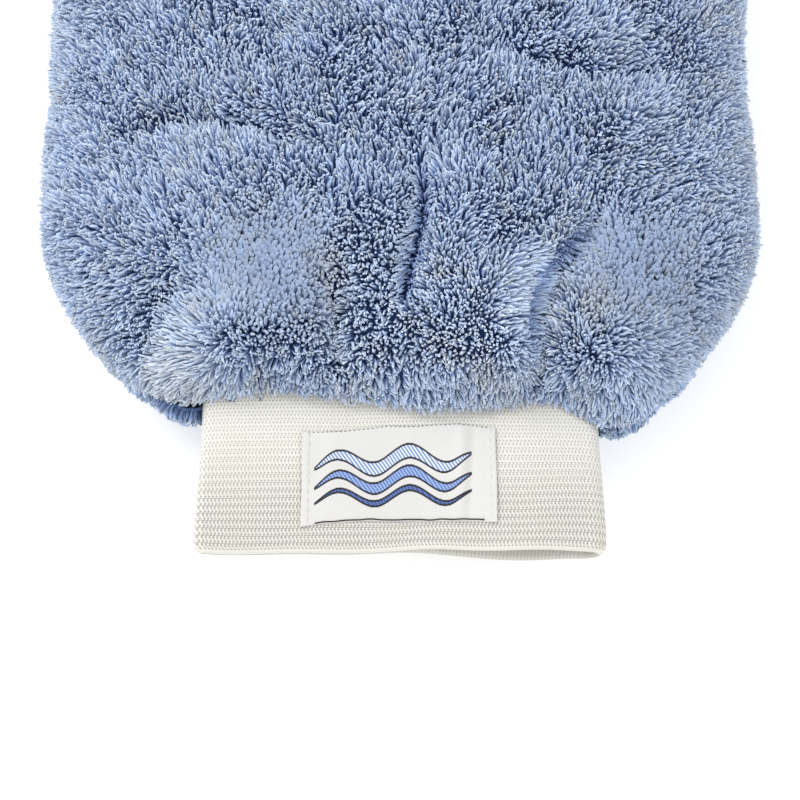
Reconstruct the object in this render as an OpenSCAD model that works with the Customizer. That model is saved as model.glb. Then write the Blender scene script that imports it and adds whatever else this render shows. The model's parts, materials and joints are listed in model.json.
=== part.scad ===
// Plush wash mitt with an elastic cuff: two pile panels, a lined hand pocket and a sewn-on label.
// The cuff mouth faces -Y, the closed end faces +Y, and the mitt lies flat on Z = 0.

/* [Overall] */
// Length from the cuff mouth to the closed end, over the pile
mitt_length = 258; // [240:1:280]
// Width over the pile at the widest place
mitt_width = 186; // [172:1:204]
// Thickness over the pile as it lies
mitt_thickness = 54; // [50:1:60]

/* [Plush panels] */
// Depth of the plush fabric with its pile, on the broad faces
plush_depth = 13; // [11:0.5:14]
// Depth of the plush fabric with its pile, beyond the side seam
plush_side_depth = 17; // [14:0.5:20]
// Width over the pile where the body meets the cuff
neck_width = 118; // [116:1:126]
// Height over the pile where the body meets the cuff
neck_height = 42; // [38:1:46]
// Distance over which the body widens from the neck
shoulder_length = 54; // [44:1:64]
// Length of the rounded closed end
tip_length = 84; // [70:1:95]

/* [Pocket] */
// Thickness of the lining cloth
lining_thickness = 0.9; // [0.6:0.1:1.2]
// Distance over which the pocket widens behind the cuff
pocket_flare = 44; // [38:1:54]

/* [Cuff] */
// Width of the cuff lying flat
cuff_width = 105; // [98:1:108]
// Height of the relaxed cuff, over the band
cuff_height = 18; // [15:0.5:20]
// Width of the elastic, from the mouth to its hidden edge
cuff_depth = 48; // [44:1:52]
// Length of the elastic that is hidden under the pile
cuff_tuck = 10; // [8:1:12]
// Thickness of the elastic
band_thickness = 1.7; // [1.4:0.1:2]
// How much taller the cuff's right half stands than its left half
cuff_skew = 0.45; // [0:0.05:0.5]
// Droop of the cuff towards its mouth, in degrees
cuff_droop = 5; // [0:1:8]
// Width of the lap that closes the elastic into a loop
lap_width = 12; // [8:1:16]

/* [Rubber strands] */
// Number of rubber strands in the elastic
strand_count = 12; // [8:1:16]
// Side of a square rubber strand
strand_side = 0.6; // [0.4:0.1:0.7]

/* [Label] */
// Length of the label across the cuff
label_length = 49.5; // [40:0.5:60]
// Width of the label along the cuff
label_width = 25.5; // [20:0.5:28]
// Thickness of the label
label_thickness = 0.5; // [0.3:0.1:0.8]
// Distance from the cuff mouth to the label's near edge
label_margin = 7; // [4:0.5:9]

/* [Thread] */
// Thickness of the seam threads
thread_size = 0.5; // [0.3:0.1:0.7]
// Length of one seam stitch
stitch_length = 3.2; // [2:0.1:4]
// Distance from one seam stitch to the next
stitch_pitch = 4.4; // [4.2:0.1:6]

/* [Hidden] */

plush_blue = [0.52, 0.60, 0.72];
plush_shade = [0.42, 0.51, 0.66];
lining_grey = [0.72, 0.74, 0.77];
elastic_cream = [0.89, 0.88, 0.84];
rubber_tan = [0.72, 0.64, 0.48];
thread_blue = [0.36, 0.46, 0.66];
thread_white = [0.94, 0.93, 0.90];
thread_black = [0.10, 0.10, 0.12];
label_white = [0.95, 0.95, 0.95];

eps = 0.01;
far = 2 * mitt_length;
fine = 32;

// The mid plane is where the two panels and the two linings meet.
mid_z = mitt_thickness / 2;
// The underside would bulge this much past the ground, and lies flat there instead.
sag_past_ground = 1.6;

mouth_y = -mitt_length / 2 + cuff_height / 2 * sin(cuff_droop);
neck_y = mouth_y + cuff_depth - cuff_tuck;
end_y = mitt_length / 2;
body_length = end_y - neck_y;
cuff_end_rise = 0.4;
mouth_z = mid_z + cuff_end_rise - cuff_depth * sin(cuff_droop);

// Half sizes of the cuff outside the band.
cuff_a = cuff_width / 2;
cuff_b = cuff_height / 2;
cuff_fit = 0.25;

pocket_half_height = mid_z - plush_depth;
pocket_half_width = mitt_width / 2 - plush_side_depth;
pocket_end_y = end_y - plush_side_depth;

// Roundness of the sections and of the closed end: 2 is an ellipse, more is squarer.
section_power = 2.5;
end_power = 2.3;
end_height_power = 2.8;

cuff_steps = 64;
section_steps = 24;
tip_step = 9;
last_tip_angle = 87;
side_steps = 12;
// The last station stops just short of closing, so that it still has a width to cap.
last_closing = 0.997;
// How far one form is started before the one that it is cut from.
cut_past = 1;

// Smooth 0 to 1 step.
function ease(t) = let (s = min(1, max(0, t))) s * s * (3 - 2 * s);
// A 0 to 1 step that rises at once and then levels off, as a shoulder does.
shoulder_level = 2.2;
shoulder_rise = 0.75;
function shoulder(t) = let (s = min(1, max(0, t))) pow(1 - pow(1 - s, shoulder_level), shoulder_rise);
function mix(a, b, t) = a + (b - a) * t;
function signed_power(v, p) = sign(v) * pow(abs(v), p);

// ---- Sections of the cuff, in its own plane: X across, Y up ----

// A point of the cuff's outline, grown outwards by g.
function cuff_point(angle, g) =
    [(cuff_a + g) * cos(angle), (cuff_b + g) * sin(angle) * (1 + cuff_skew * cos(angle)) / cuff_crest];
// The tallest value of the skewed outline, which keeps the cuff at its stated height.
cuff_crest = max([for (angle = [0:1:180]) sin(angle) * (1 + cuff_skew * cos(angle))]);
// The outline angle at which the upper cuff face is at x.
function cuff_angle(x, g) = acos(x / (cuff_a + g));

module cuff_outline(g) {
    polygon([for (i = [0:cuff_steps - 1]) cuff_point(360 * i / cuff_steps, g)]);
}

// A strip that follows the outline from one angle to another, between two growths.
module cuff_strip(from, to, inner, outer) {
    steps = 16;
    angles = [for (i = [0:steps]) mix(from, to, i / steps)];
    polygon(concat(
        [for (angle = angles) cuff_point(angle, outer)],
        [for (i = [steps:-1:0]) cuff_point(angles[i], inner)]
    ));
}

// Puts what is drawn in the cuff's plane and extruded by depth at a distance from the mouth.
module on_cuff(distance, depth) {
    translate([0, mouth_y, mouth_z])
    rotate([cuff_droop, 0, 0])
    translate([0, distance + depth, 0])
    rotate([90, 0, 0])
    linear_extrude(height = depth)
    children();
}

// One stitch on the cuff's surface at a point of its outline, where the outline runs along slope.
// turn 0 lies along the mouth edge, turn 90 along the depth.
module cuff_stitch(here, slope, distance, length, turn) {
    translate([0, mouth_y, mouth_z])
    rotate([cuff_droop, 0, 0])
    translate([here[0], distance, here[1]])
    rotate([0, -atan2(slope[1], slope[0]), 0])
    rotate([0, 0, turn])
    rotate([0, 90, 0])
    cylinder(h = length, d = thread_size, center = true, $fn = fine);
}

module cuff_stitch_at(angle, grow, distance, length, turn) {
    slope = cuff_point(angle + 0.5, grow) - cuff_point(angle - 0.5, grow);
    cuff_stitch(cuff_point(angle, grow), slope, distance, length, turn);
}

// ---- Lofted bodies along Y ----

// A station is [y, half width, half height above, half height below, mid height, skew, power].
function section(s) = [
    for (i = [0:2 * section_steps - 1])
        let (
            angle = 180 * i / section_steps,
            across = s[1] * signed_power(cos(angle), s[6]),
            up = pow(abs(sin(angle)), s[6]) * (1 + s[5] * cos(angle))
        )
        [across, s[0], s[4] + (sin(angle) >= 0 ? s[2] * up : -s[3] * up)]
];

module loft(stations) {
    rings = [for (s = stations) section(s)];
    ring_size = len(rings[0]);
    last = len(rings) - 1;
    sides = [
        for (j = [0:last - 1])
            for (i = [0:ring_size - 1])
                let (
                    k = (i + 1) % ring_size,
                    a = j * ring_size + i,
                    b = j * ring_size + k,
                    c = b + ring_size,
                    d = a + ring_size
                )
                each [[a, b, c], [a, c, d]]
    ];
    near_cap = [for (i = [ring_size - 1:-1:0]) i];
    far_cap = [for (i = [0:ring_size - 1]) last * ring_size + i];
    polyhedron(points = [for (r = rings) each r], faces = concat(sides, [near_cap], [far_cap]));
}

// Distances along a body from its neck to its closed end, close together round the end.
function tip_share(angle) = pow(sin(angle), 2 / end_power) / pow(sin(last_tip_angle), 2 / end_power);
function stops(length, tip) = concat(
    [for (i = [0:side_steps - 1]) (length - tip) * i / side_steps],
    [for (angle = [0:tip_step:last_tip_angle - tip_step / 2]) length - tip + tip * tip_share(angle)],
    [length]
);
// How far the width or height has closed at a distance along the body.
function closing(at, length, tip, power) =
    at <= length - tip ? 1 : pow(1 - pow(last_closing * (at - length + tip) / tip, power), 1 / power);

// The outside of both plush panels together.
module plush_outside() {
    neck_half = neck_height / 2;
    low_half = mid_z + sag_past_ground;
    loft([
        for (at = stops(body_length, tip_length))
            let (
                t = ease(at / shoulder_length),
                spread = shoulder(at / shoulder_length),
                wide = closing(at, body_length, tip_length, end_power),
                high = closing(at, body_length, tip_length, end_height_power)
            )
            [
                neck_y + at,
                wide * mix(neck_width / 2, mitt_width / 2, spread),
                high * mix(neck_half, mid_z, t),
                high * mix(neck_half, low_half, t),
                mid_z, 0, 2 / section_power
            ]
    ]);
}

// The space inside the plush panels: the lining's outside when shrink is 0, and the pocket when
// shrink is the lining's thickness.
module pocket_form(shrink, start) {
    length = pocket_end_y - neck_y;
    tip = tip_length - plush_side_depth;
    a0 = cuff_a - band_thickness - 2 * cuff_fit - shrink;
    b0 = (cuff_b - band_thickness - cuff_fit) / cuff_crest - shrink;
    loft([
        for (at = concat([start], [for (d = stops(length, tip)) if (d > 0) d]))
            let (
                t = ease((at - cuff_tuck) / pocket_flare),
                spread = shoulder((at - cuff_tuck) / pocket_flare),
                wide = closing(at, length, tip, end_power),
                high = closing(at, length, tip, end_height_power),
                tall = high * mix(b0, pocket_half_height - shrink, t),
                cuff_axis = mouth_z + (at + cuff_depth - cuff_tuck) * tan(cuff_droop)
            )
            [
                neck_y + at * (1 - shrink / length),
                wide * mix(a0, pocket_half_width - shrink, spread),
                tall,
                tall,
                mix(min(cuff_axis, mid_z + cuff_end_rise), mid_z, t),
                mix(cuff_skew, 0, t),
                mix(1, 2 / section_power, t)
            ]
    ]);
}

// The half space above or below the mid plane, with the ground cut level.
module half_space(above) {
    if (above)
        translate([-far / 2, -far / 2, mid_z]) cube([far, far, far]);
    else
        translate([-far / 2, -far / 2, 0]) cube([far, far, mid_z]);
}

// ---- Seams that run round the edge ----

// The spread tapers as the line closes in, and turns lengthwise over the last part of the run.
spread_taper = 0.6;
spread_turn = 0.6;

// The edge line in the mid plane, spread outwards past the lining's edge.
function edge_line(spread) =
    let (
        length = pocket_end_y - neck_y,
        tip = tip_length - plush_side_depth,
        right = [
            for (at = stops(length, tip))
                if (at > cuff_tuck)
                    let (
                        t = shoulder((at - cuff_tuck) / pocket_flare),
                        wide = closing(at, length, tip, end_power),
                        run = at / length
                    )
                    [
                        wide * mix(cuff_a - band_thickness, pocket_half_width, t)
                            + spread * pow(wide, spread_taper),
                        neck_y + at + spread * ease((run - spread_turn) / (1 - spread_turn))
                    ]
        ],
        count = len(right)
    )
    concat(right, [for (i = [count - 1:-1:0]) [-right[i][0], right[i][1]]]);

function run_to(line, i) = i == 0 ? 0 : run_to(line, i - 1) + norm(line[i] - line[i - 1]);
function point_at(line, runs, s) =
    let (i = max([for (k = [0:len(line) - 2]) if (runs[k] <= s) k]))
    mix(line[i], line[i + 1], (s - runs[i]) / (runs[i + 1] - runs[i]));

module stitch_row(line) {
    runs = [for (i = [0:len(line) - 1]) run_to(line, i)];
    count = floor(runs[len(runs) - 1] / stitch_pitch);
    for (i = [1:count - 1]) {
        s = i * stitch_pitch;
        from = point_at(line, runs, s - stitch_length / 2);
        to = point_at(line, runs, s + stitch_length / 2);
        middle = (from + to) / 2;
        along = to - from;
        translate([middle[0], middle[1], mid_z])
        rotate([0, 0, atan2(along[1], along[0])])
        rotate([0, 90, 0])
        cylinder(h = stitch_length, d = thread_size, center = true, $fn = fine);
    }
}

// The groove in the mid plane that the stitches lie in.
module stitch_groove(line, width) {
    last = len(line) - 1;
    normal = [
        for (i = [0:last])
            let (d = line[min(i + 1, last)] - line[max(i - 1, 0)])
            [-d[1], d[0]] / norm(d)
    ];
    translate([0, 0, mid_z - width / 2])
    linear_extrude(height = width)
    polygon(concat(
        [for (i = [0:last]) line[i] + normal[i] * width / 2],
        [for (i = [last:-1:0]) line[i] - normal[i] * width / 2]
    ));
}

// Plush seam: in the fabric just outside the lining. Lining seam: just inside the plush seam.
plush_seam_spread = 5;
lining_seam_spread = 2;
groove_width = thread_size + 0.5;
groove_past_thread = 0.2;

module seam_grooves() {
    stitch_groove(edge_line(plush_seam_spread), groove_width);
    stitch_groove(edge_line(lining_seam_spread), groove_width);
}

// The seam that joins cuff, panels and lining runs round the tucked part of the band.
cuff_seam_distance = cuff_depth - cuff_tuck / 2;

module cuff_seam_groove() {
    on_cuff(cuff_seam_distance - groove_width / 2, groove_width)
    cuff_outline(thread_size + groove_past_thread);
}

// ---- Sub-parts ----

module plush_panel(above) {
    difference() {
        intersection() {
            plush_outside();
            half_space(above);
        }
        pocket_form(0, -cut_past);
        on_cuff(0, cuff_depth) cuff_outline(0);
        cuff_seam_groove();
        seam_grooves();
    }
}

module top_plush_panel() {
    color(plush_blue) plush_panel(true);
}

module bottom_plush_panel() {
    color(plush_shade) plush_panel(false);
}

module plush_seam_thread() {
    color(thread_blue) stitch_row(edge_line(plush_seam_spread));
}

module lining(above) {
    difference() {
        intersection() {
            pocket_form(0, eps);
            half_space(above);
        }
        pocket_form(lining_thickness, -2 * cut_past);
    }
}

module top_lining() {
    color(lining_grey) lining(true);
}

module bottom_lining() {
    color(lining_grey) lining(false);
}

module lining_seam_thread() {
    color(thread_white) stitch_row(edge_line(lining_seam_spread));
}

// The strands are spread evenly over the band, clear of both edges.
strand_pitch = cuff_depth / (strand_count + 1);
strand_middle = -band_thickness / 2;

module strand_loops() {
    for (i = [1:strand_count])
        on_cuff(i * strand_pitch - strand_side / 2, strand_side)
        difference() {
            cuff_outline(strand_middle + strand_side / 2);
            cuff_outline(strand_middle - strand_side / 2);
        }
}

// The lap is on the underside, this far left of the middle.
lap_offset = 14;
lap_from = 180 + acos((lap_width + lap_offset) / cuff_a);
lap_to = 180 + acos(lap_offset / cuff_a);
lap_ply = 1.2;

module cuff_elastic_band() {
    color(elastic_cream) {
        difference() {
            on_cuff(0, cuff_depth)
            difference() {
                cuff_outline(0);
                cuff_outline(-band_thickness);
            }
            strand_loops();
        }
        on_cuff(0, cuff_depth - cuff_tuck) cuff_strip(lap_from, lap_to, -eps, lap_ply);
    }
}

module cuff_rubber_strands() {
    color(rubber_tan) strand_loops();
}

// Two zigzag rows, one near each end of the lap.
module cuff_lap_thread() {
    zigzag_turn = 62;
    zigzag_pitch = 2.4;
    zigzag_length = 2.6;
    first_row = 3;
    rows = floor((cuff_depth - cuff_tuck - first_row - 1) / zigzag_pitch);
    color(thread_white)
    for (share = [0.2, 0.8])
        for (i = [0:rows - 1])
            cuff_stitch_at(
                mix(lap_from, lap_to, share), lap_ply + thread_size / 2,
                first_row + i * zigzag_pitch, zigzag_length, i % 2 == 0 ? zigzag_turn : -zigzag_turn
            );
}

module cuff_seam_thread() {
    line = [for (i = [0:cuff_steps]) cuff_point(360 * i / cuff_steps, thread_size / 2)];
    runs = [for (i = [0:cuff_steps]) run_to(line, i)];
    count = floor(runs[cuff_steps] / stitch_pitch);
    pitch = runs[cuff_steps] / count;
    color(thread_white)
    for (i = [0:count - 1]) {
        s = (i + 0.5) * pitch;
        step = stitch_length / 2;
        cuff_stitch(
            point_at(line, runs, s), point_at(line, runs, s + step) - point_at(line, runs, s - step),
            cuff_seam_distance, stitch_length, 0
        );
    }
}

module woven_label() {
    color(label_white)
    on_cuff(label_margin, label_width)
    cuff_strip(
        cuff_angle(label_length / 2, 0), cuff_angle(-label_length / 2, 0), 0, label_thickness
    );
}

// One column of stitches through each end of the label.
module label_end_stitches() {
    end_inset = 1.6;
    edge_margin = 1;
    pitch = 2.5;
    dash = 1.7;
    count = floor((label_width - 2 * edge_margin) / pitch);
    start = label_margin + (label_width - (count - 1) * pitch) / 2;
    color(thread_white)
    for (side = [-1, 1])
        for (i = [0:count - 1])
            cuff_stitch_at(
                cuff_angle(side * (label_length / 2 - end_inset), 0),
                label_thickness + thread_size / 2, start + i * pitch, dash, 90
            );
}

module label_edge_thread() {
    thread_inset = 3.6;
    edge_inset = 0.4;
    rise = 0.4;
    color(thread_black)
    on_cuff(label_margin + edge_inset, rise)
    cuff_strip(
        cuff_angle(label_length / 2 - thread_inset, 0), cuff_angle(thread_inset - label_length / 2, 0),
        label_thickness, label_thickness + rise
    );
}

top_plush_panel();
bottom_plush_panel();
plush_seam_thread();
top_lining();
bottom_lining();
lining_seam_thread();
cuff_elastic_band();
cuff_rubber_strands();
cuff_lap_thread();
cuff_seam_thread();
woven_label();
label_end_stitches();
label_edge_thread();
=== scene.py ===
import bpy
import json
import math
import numpy as np
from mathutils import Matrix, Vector


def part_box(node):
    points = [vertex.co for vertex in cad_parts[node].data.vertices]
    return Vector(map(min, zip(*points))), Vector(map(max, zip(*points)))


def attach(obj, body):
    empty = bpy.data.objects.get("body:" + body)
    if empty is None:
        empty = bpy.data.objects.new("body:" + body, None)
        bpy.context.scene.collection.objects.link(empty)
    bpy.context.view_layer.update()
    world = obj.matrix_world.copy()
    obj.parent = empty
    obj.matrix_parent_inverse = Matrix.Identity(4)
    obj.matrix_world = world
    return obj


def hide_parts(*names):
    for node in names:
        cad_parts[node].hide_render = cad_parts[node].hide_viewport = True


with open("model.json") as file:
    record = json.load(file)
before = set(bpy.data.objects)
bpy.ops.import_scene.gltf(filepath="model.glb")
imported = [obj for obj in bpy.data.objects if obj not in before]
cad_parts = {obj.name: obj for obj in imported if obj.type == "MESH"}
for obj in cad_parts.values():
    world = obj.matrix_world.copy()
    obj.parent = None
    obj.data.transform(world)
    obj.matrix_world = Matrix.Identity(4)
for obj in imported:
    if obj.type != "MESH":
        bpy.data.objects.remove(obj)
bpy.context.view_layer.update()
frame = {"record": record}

# Everything below works in millimetres in the CAD's frame; meshes are written in metres.
MM = 0.001


def cad_box(node):
    lo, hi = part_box(node)
    return np.array(lo) / MM, np.array(hi) / MM


# ---------------------------------------------------------------- measures from the CAD
top_lo, top_hi = cad_box("top_plush_panel")
_, lining_hi = cad_box("top_lining")
band_lo, band_hi = cad_box("cuff_elastic_band")
label_lo, label_hi = cad_box("woven_label")
mounts = {m["name"]: m for m in frame["record"]["mounts"]}
mouth = mounts["wrist_opening"]
MOUTH = np.array([0.0, mouth["pos_m"][1] / MM, mouth["pos_m"][2] / MM])
INTO = -np.array(mouth["axis"], float)      # from the mouth into the mitt
LIFT = np.array([0.0, -INTO[2], INTO[1]])   # out of the cuff's upper face
MID = top_lo[2]                             # height of the seam between the two panels
END_Y = top_hi[1]                           # the closed end
NECK_Y = top_lo[1]                          # where body and cuff meet
HALF_W = (top_hi[0] - top_lo[0]) / 2
BAND_HALF = (band_hi[0] - band_lo[0]) / 2
BAND_DEPTH = 48.0                           # of the elastic, with the part sewn in
THICK = 1.7                                 # of the elastic

rng = np.random.default_rng(11)


# ---------------------------------------------------------------- small numeric tools
def ease(t):
    """Rises smoothly from 0 at t = 0 to 1 at t = 1."""
    s = np.clip(t, 0, 1)
    return s * s * (3 - 2 * s)


def shoulder(t):
    """Rises from 0 to 1, steeply at first, like the outline of a shoulder."""
    s = np.clip(t, 0, 1)
    return (1 - (1 - s) ** 2.2) ** 0.75


def mix(a, b, t):
    return a + (b - a) * t


def unit(v):
    return v / np.maximum(np.linalg.norm(v, axis=-1, keepdims=True), 1e-9)


def bell(t):
    """1 at t = 0, about a third at t = 1 and near nothing beyond t = 2."""
    return np.exp(-(t**2))


def mound(x, y, place, size, power=2):
    """A bell over the plane, with its own size across and along. A higher, even power flattens its top."""
    return np.exp(-(((x - place[0]) / size[0]) ** power) - ((y - place[1]) / size[1]) ** power)


def lattice(ix, iy, seed):
    """A number from -1 to 1 for each whole-numbered place, always the same one."""
    h = (ix.astype(np.int64) * 374761393 + iy.astype(np.int64) * 668265263 + seed * 1442695041) & 0xFFFFFFFF
    h = ((h ^ (h >> 13)) * 1274126177) & 0xFFFFFFFF
    return ((h ^ (h >> 16)) & 0xFFFF) / 32767.5 - 1


def noise(x, y, size, seed):
    """Smooth noise from -1 to 1 with lumps about size across."""
    x, y = np.asarray(x) / size, np.asarray(y) / size
    ix, iy = np.floor(x), np.floor(y)
    fx, fy = ease(x - ix), ease(y - iy)
    a = mix(lattice(ix, iy, seed), lattice(ix + 1, iy, seed), fx)
    b = mix(lattice(ix, iy + 1, seed), lattice(ix + 1, iy + 1, seed), fx)
    return mix(a, b, fy)


def locks(x, y, size, seed):
    """The way to the middle of the nearest of many irregular cells, and that cell's number, -1 to 1."""
    x, y = x / size, y / size
    ix, iy = np.floor(x), np.floor(y)
    best = np.full(np.shape(x), 1e9)
    way = np.zeros(np.shape(x) + (2,))
    tone = np.zeros(np.shape(x))
    for i in (-1, 0, 1):
        for j in (-1, 0, 1):
            dx = ix + i + 0.5 + 0.42 * lattice(ix + i, iy + j, seed) - x
            dy = iy + j + 0.5 + 0.42 * lattice(ix + i, iy + j, seed + 1) - y
            near = dx**2 + dy**2 < best
            best = np.where(near, dx**2 + dy**2, best)
            way = np.where(near[..., None], np.stack([dx, dy], -1), way)
            tone = np.where(near, lattice(ix + i, iy + j, seed + 2), tone)
    return way * size, tone


def to_line(x, y, points):
    """Distance to a polyline, positive on the right walking along it, and the run along it, 0 to 1."""
    best = np.full(np.shape(x), 1e9)
    side = np.zeros(np.shape(x))
    run = np.zeros(np.shape(x))
    n = len(points) - 1
    for i in range(n):
        a, b = np.array(points[i], float), np.array(points[i + 1], float)
        d = b - a
        t = ((x - a[0]) * d[0] + (y - a[1]) * d[1]) / (d @ d)
        c = np.clip(t, 0, 1)
        dist = np.hypot(x - a[0] - c * d[0], y - a[1] - c * d[1])
        cross = (x - a[0]) * d[1] - (y - a[1]) * d[0]
        near = dist < best
        best = np.where(near, dist, best)
        side = np.where(near, np.sign(cross), side)
        run = np.where(near, (i + c) / n, run)
    return best * side, run


# ---------------------------------------------------------------- meshes
def add_object(name, data):
    ob = bpy.data.objects.new(name, data)
    bpy.context.scene.collection.objects.link(ob)
    return ob


def make_mesh(name, verts, faces, uvs=None, uv_name="UVMap", attributes=None, smooth=True):
    """faces is a list of int arrays (n, k), uvs a matching list of (n, k, 2)."""
    me = bpy.data.meshes.new(name)
    me.vertices.add(len(verts))
    me.vertices.foreach_set("co", (np.asarray(verts) * MM).astype(np.float32).ravel())
    sizes = np.concatenate([np.full(len(f), f.shape[1]) for f in faces])
    loops = np.concatenate([f.ravel() for f in faces])
    me.loops.add(len(loops))
    me.polygons.add(len(sizes))
    me.loops.foreach_set("vertex_index", loops.astype(np.int32))
    me.polygons.foreach_set("loop_start", np.concatenate([[0], np.cumsum(sizes)[:-1]]).astype(np.int32))
    me.polygons.foreach_set("use_smooth", np.full(len(sizes), smooth))
    if uvs is not None:
        layer = me.uv_layers.new(name=uv_name)
        layer.data.foreach_set("uv", np.concatenate([u.reshape(-1) for u in uvs]).astype(np.float32))
    for key, values in (attributes or {}).items():
        values = np.asarray(values, np.float32)
        kind = "FLOAT" if values.ndim == 1 else "FLOAT_VECTOR"
        attribute = me.attributes.new(key, kind, "POINT")
        attribute.data.foreach_set("value" if values.ndim == 1 else "vector", values.ravel())
    me.update()
    me.validate()
    return add_object(name, me)


def grid_normals(p, wrap=False):
    """Normals of a (rows, columns, 3) grid."""
    if wrap:
        across = np.roll(p, -1, 1) - np.roll(p, 1, 1)
    else:
        across = np.gradient(p, axis=1)
    return unit(np.cross(across, np.gradient(p, axis=0)))


def quads(rows, cols, wrap, start=0):
    r = np.arange(rows - 1)[:, None]
    c = np.arange(cols if wrap else cols - 1)[None, :]
    d = (c + 1) % cols
    a = start + r * cols
    b = start + (r + 1) * cols
    return np.stack([a + c, a + d, b + d, b + c], -1).reshape(-1, 4)


def slab(name, outer, inner, coords, wrap=False, step=(1, 1), period=0.0):
    """A closed sheet: an outer grid, a coarser inner grid and the edges between. coords is the outer UV."""
    sr, sc = step
    rows, cols = outer.shape[:2]
    inner = inner[::sr, ::sc]
    ir, ic = inner.shape[:2]
    base = rows * cols
    verts = np.concatenate([outer.reshape(-1, 3), inner.reshape(-1, 3)])
    coord = np.concatenate([coords.reshape(-1, 2), coords[::sr, ::sc].reshape(-1, 2)])
    side = np.concatenate([np.zeros(base), np.ones(ir * ic)])
    front = quads(rows, cols, wrap)
    back = quads(ir, ic, wrap, base)[:, ::-1]
    faces = [front, back]
    steps = ic if wrap else ic - 1
    for row, flip in ((0, False), (rows - 1, True)):
        j = np.arange(steps)[:, None]
        along = row * cols + (j * sc + np.arange(sc + 1)[None, :]) % cols
        under = base + (row // sr) * ic + np.concatenate([(j + 1) % ic, j], 1)
        ring = np.concatenate([along[:, ::-1], under[:, ::-1]], 1)
        faces.append(ring[:, ::-1] if flip else ring)
    if not wrap:
        for col, flip in ((0, True), (cols - 1, False)):
            j = np.arange(ir - 1)[:, None]
            along = (j * sr + np.arange(sr + 1)[None, :]) * cols + col
            under = base + np.concatenate([j + 1, j], 1) * ic + col // sc
            ring = np.concatenate([along[:, ::-1], under[:, ::-1]], 1)
            faces.append(ring[:, ::-1] if flip else ring)
    faces = facing_out(verts, faces)
    uvs = []
    for f in faces:
        u = coord[f].copy()
        if period:
            wide = u[..., 0].max(1) - u[..., 0].min(1) > period / 2
            low = u[..., 0] < period / 2
            u[..., 0] += np.where(wide[:, None] & low, period, 0)
        uvs.append(u)
    return make_mesh(name, verts, faces, uvs, attributes={"side": side})


def facing_out(verts, faces):
    """The faces of a closed mesh, turned round if they look inwards."""
    volume = 0.0
    for f in faces:
        p = verts[f]
        for k in range(1, f.shape[1] - 1):
            volume += np.einsum("ij,ij->i", p[:, 0], np.cross(p[:, k], p[:, k + 1])).sum()
    return [f[:, ::-1] for f in faces] if volume < 0 else faces


def tubes(name, paths, radius, sides=8):
    """Rods along polylines, with rounded ends: one mesh of many short threads."""
    verts, sets, n = [], {}, 0
    for path in paths:
        path = np.asarray(path, float)
        first, last = unit(path[0] - path[1]) * radius, unit(path[-1] - path[-2]) * radius
        before = [path[0] + first, path[0] + first * 0.5]
        after = [path[-1] + last * 0.5, path[-1] + last]
        spine = np.concatenate([before, path, after])
        grow = np.concatenate([[0.25, 0.8], np.ones(len(path)), [0.8, 0.25]])
        along = unit(np.gradient(spine, axis=0))
        ref = np.array([0, 0, 1.0]) if abs(along[:, 2]).max() < 0.9 else np.array([1.0, 0, 0])
        a = unit(np.cross(along, ref))
        b = np.cross(along, a)
        angle = np.arange(sides) * 2 * math.pi / sides
        ring = spine[:, None] + radius * grow[:, None, None] * (
            np.cos(angle)[None, :, None] * a[:, None] + np.sin(angle)[None, :, None] * b[:, None]
        )
        k = len(spine)
        verts.append(ring.reshape(-1, 3))
        sets.setdefault(4, []).append(quads(k, sides, True, n))
        caps = [n + np.arange(sides)[::-1], n + (k - 1) * sides + np.arange(sides)]
        sets.setdefault(sides, []).append(np.array(caps))
        n += k * sides
    verts = np.concatenate(verts)
    return make_mesh(name, verts, facing_out(verts, [np.concatenate(v) for v in sets.values()]))


# ---------------------------------------------------------------- materials
def feed(tree, slot, value):
    """Sets a node's input to a number or a colour, or links it to what another node gives."""
    if isinstance(value, Val):
        tree.links.new(value.socket, slot)
    elif isinstance(value, bpy.types.NodeSocket):
        tree.links.new(value, slot)
    else:
        slot.default_value = (*value, 1) if isinstance(value, tuple) else value


def maths(operation):
    """A method of Val that adds one maths node."""
    return lambda self, *others: self.op(operation, *others)


class Val:
    """A number in a node tree, so that node maths reads as plain maths."""

    def __init__(self, tree, socket):
        self.tree, self.socket = tree, socket

    def op(self, name, *others):
        node = self.tree.nodes.new("ShaderNodeMath")
        node.operation = name
        for slot, v in zip(node.inputs, (self,) + others):
            feed(self.tree, slot, v)
        return Val(self.tree, node.outputs[0])

    __add__ = __radd__ = maths("ADD")
    __mul__ = __rmul__ = maths("MULTIPLY")
    __sub__ = maths("SUBTRACT")
    __truediv__ = maths("DIVIDE")
    sin, cos = maths("SINE"), maths("COSINE")
    abs, floor, fract = maths("ABSOLUTE"), maths("FLOOR"), maths("FRACT")
    pow, max = maths("POWER"), maths("MAXIMUM")

    def __rsub__(self, other):
        return (self * -1.0) + other

    def wave(self, length):
        """A sine wave of the given length."""
        return (self * (2 * math.pi / length)).sin()

    def step(self, lo, hi):
        """Rises smoothly from 0 at lo to 1 at hi."""
        node = self.tree.nodes.new("ShaderNodeMapRange")
        node.interpolation_type = "SMOOTHSTEP"
        self.tree.links.new(self.socket, node.inputs["Value"])
        node.inputs["From Min"].default_value = lo
        node.inputs["From Max"].default_value = hi
        return Val(self.tree, node.outputs["Result"])


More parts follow.
